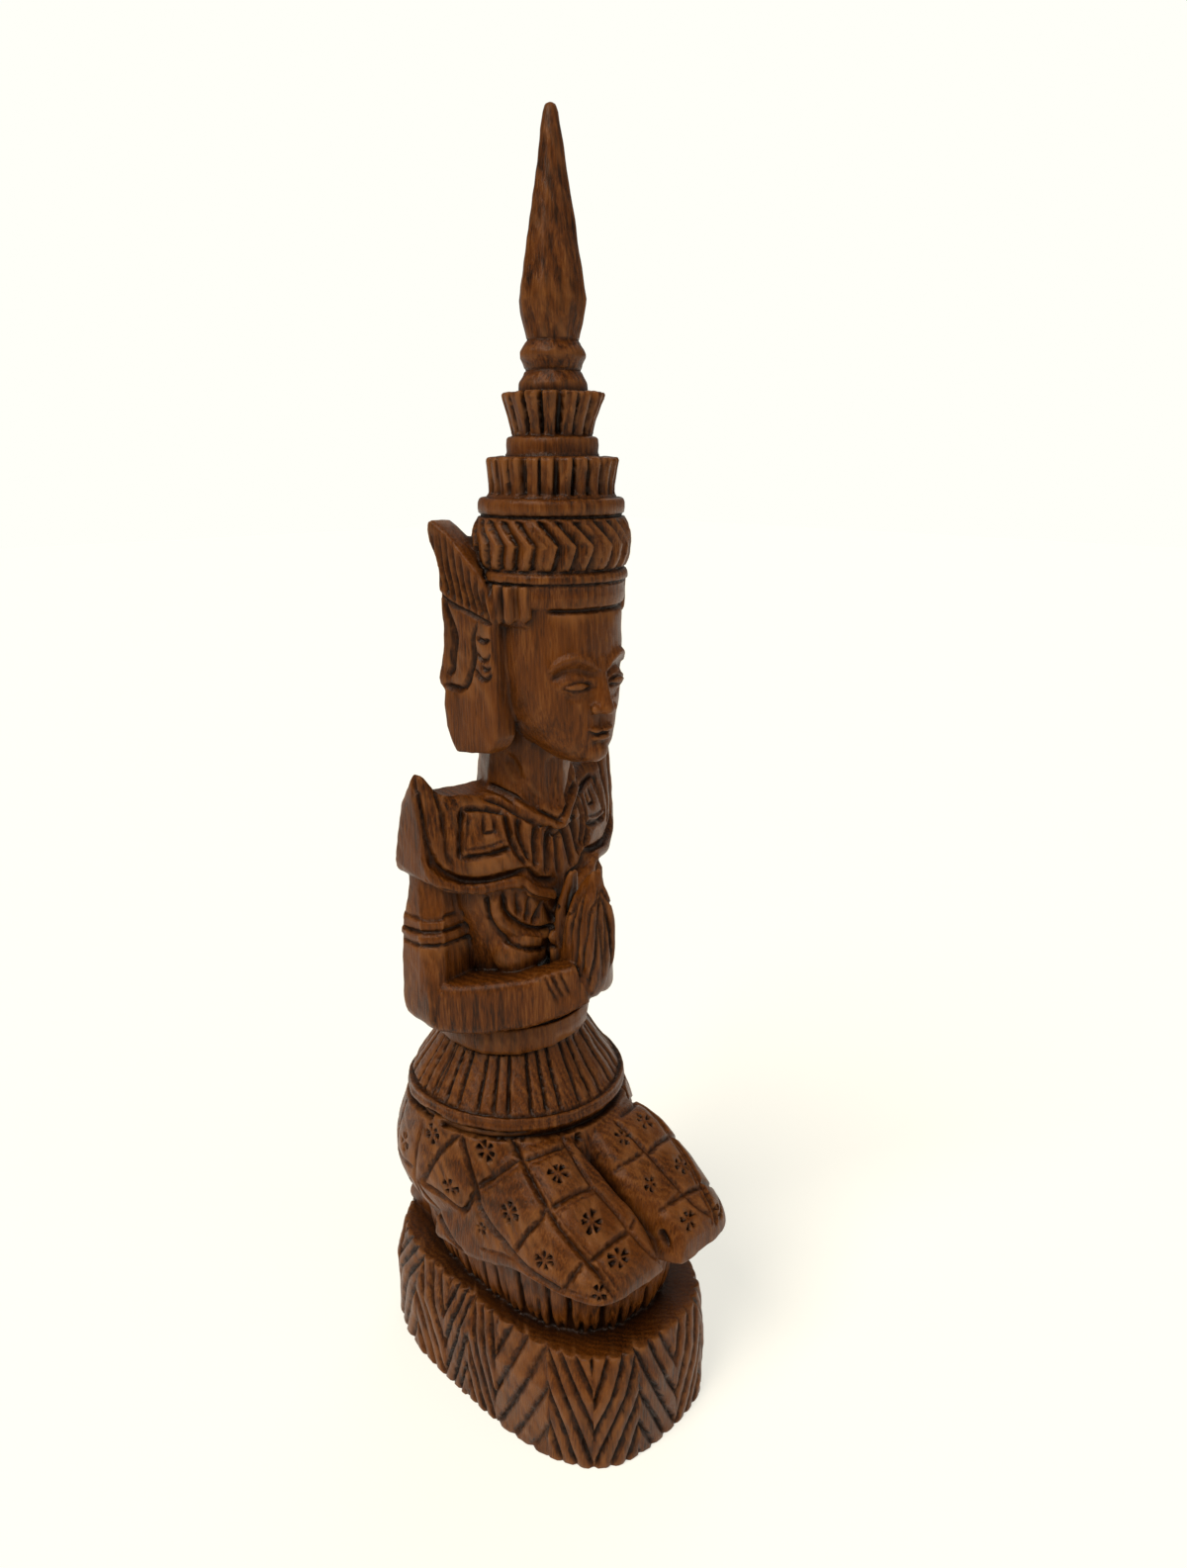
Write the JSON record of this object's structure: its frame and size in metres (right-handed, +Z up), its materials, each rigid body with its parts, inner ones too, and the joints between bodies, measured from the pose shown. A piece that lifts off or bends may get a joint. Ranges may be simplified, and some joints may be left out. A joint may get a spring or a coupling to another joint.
{
  "type": "carved wooden kneeling guardian figure",
  "caption": "Kneeling guardian figure with joined hands and a tall tiered crown, carved with its oval plinth from one block of wood.",
  "frame": {"origin": "middle of the plinth's flat underside", "axes": "+Z up along the figure, the figure faces -Y, its right side is at -X"},
  "size_m": [0.086, 0.122, 0.4],
  "materials": {
    "carved_hardwood": "hand carved, oiled and rubbed to a satin sheen"
  },
  "bodies": {
    "root": {"theppanom_figure": "carved_hardwood"}
  },
  "joints": []
}
